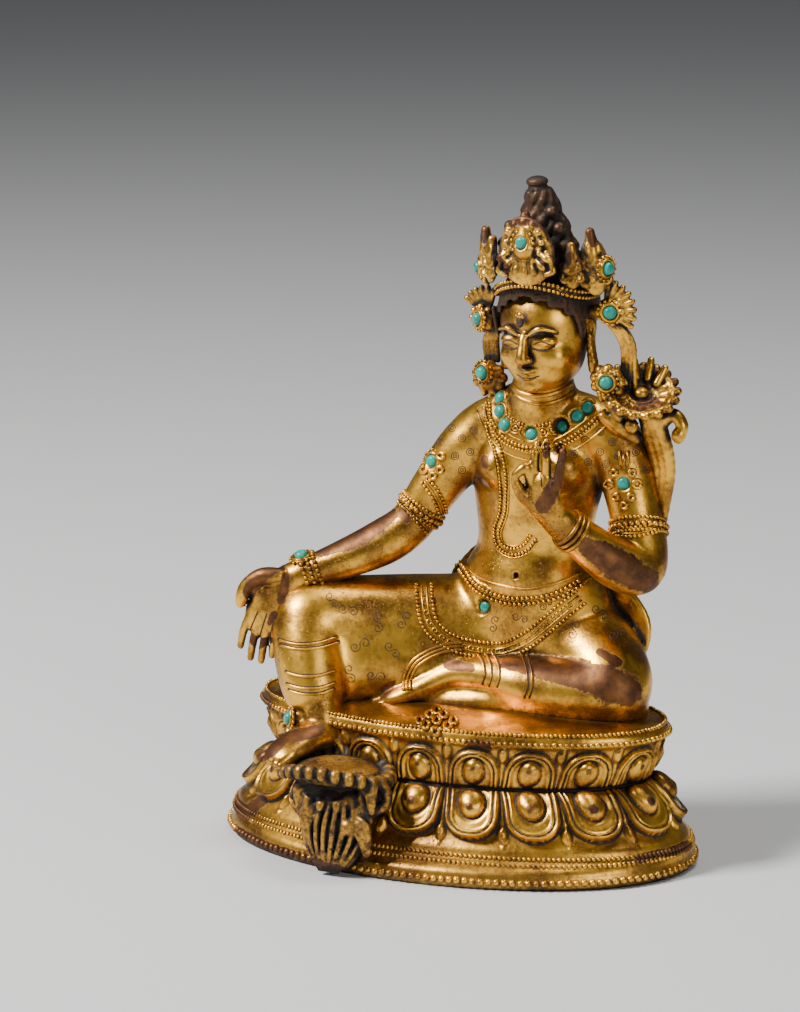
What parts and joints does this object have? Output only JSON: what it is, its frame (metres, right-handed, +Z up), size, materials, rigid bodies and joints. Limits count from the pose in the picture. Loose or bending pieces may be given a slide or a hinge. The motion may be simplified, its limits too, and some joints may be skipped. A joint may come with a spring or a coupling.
{
  "type": "seated tara figure",
  "caption": "Gilt copper figure of a seated Tara in royal ease on a double lotus plinth, one foot on a small lotus, inlaid with turquoise.",
  "frame": {"origin": "middle of the plinth's flat underside", "axes": "+Z up, the figure faces -Y, +X is the figure's own left"},
  "size_m": [0.1052, 0.0703, 0.142],
  "materials": {
    "gilt_copper": "fire-gilt copper, satin, worn through to brown copper on the high places, dark in the recesses",
    "turquoise": "polished cabochon"
  },
  "bodies": {
    "root": {"tara_and_lotus_plinth": "gilt_copper", "turquoise_diadem_front": "turquoise", "turquoise_diadem_right": "turquoise", "turquoise_diadem_left": "turquoise", "turquoise_ear_right": "turquoise", "turquoise_ear_left": "turquoise", "turquoise_pendant_right": "turquoise", "turquoise_pendant_left": "turquoise", "turquoise_necklace_1": "turquoise", "turquoise_necklace_2": "turquoise", "turquoise_necklace_3": "turquoise", "turquoise_necklace_4": "turquoise", "turquoise_necklace_5": "turquoise", "turquoise_necklace_6": "turquoise", "turquoise_necklace_7": "turquoise", "turquoise_armlet_right": "turquoise", "turquoise_armlet_left": "turquoise", "turquoise_bracelet_right": "turquoise", "turquoise_girdle": "turquoise", "turquoise_anklet_right": "turquoise"}
  },
  "joints": []
}
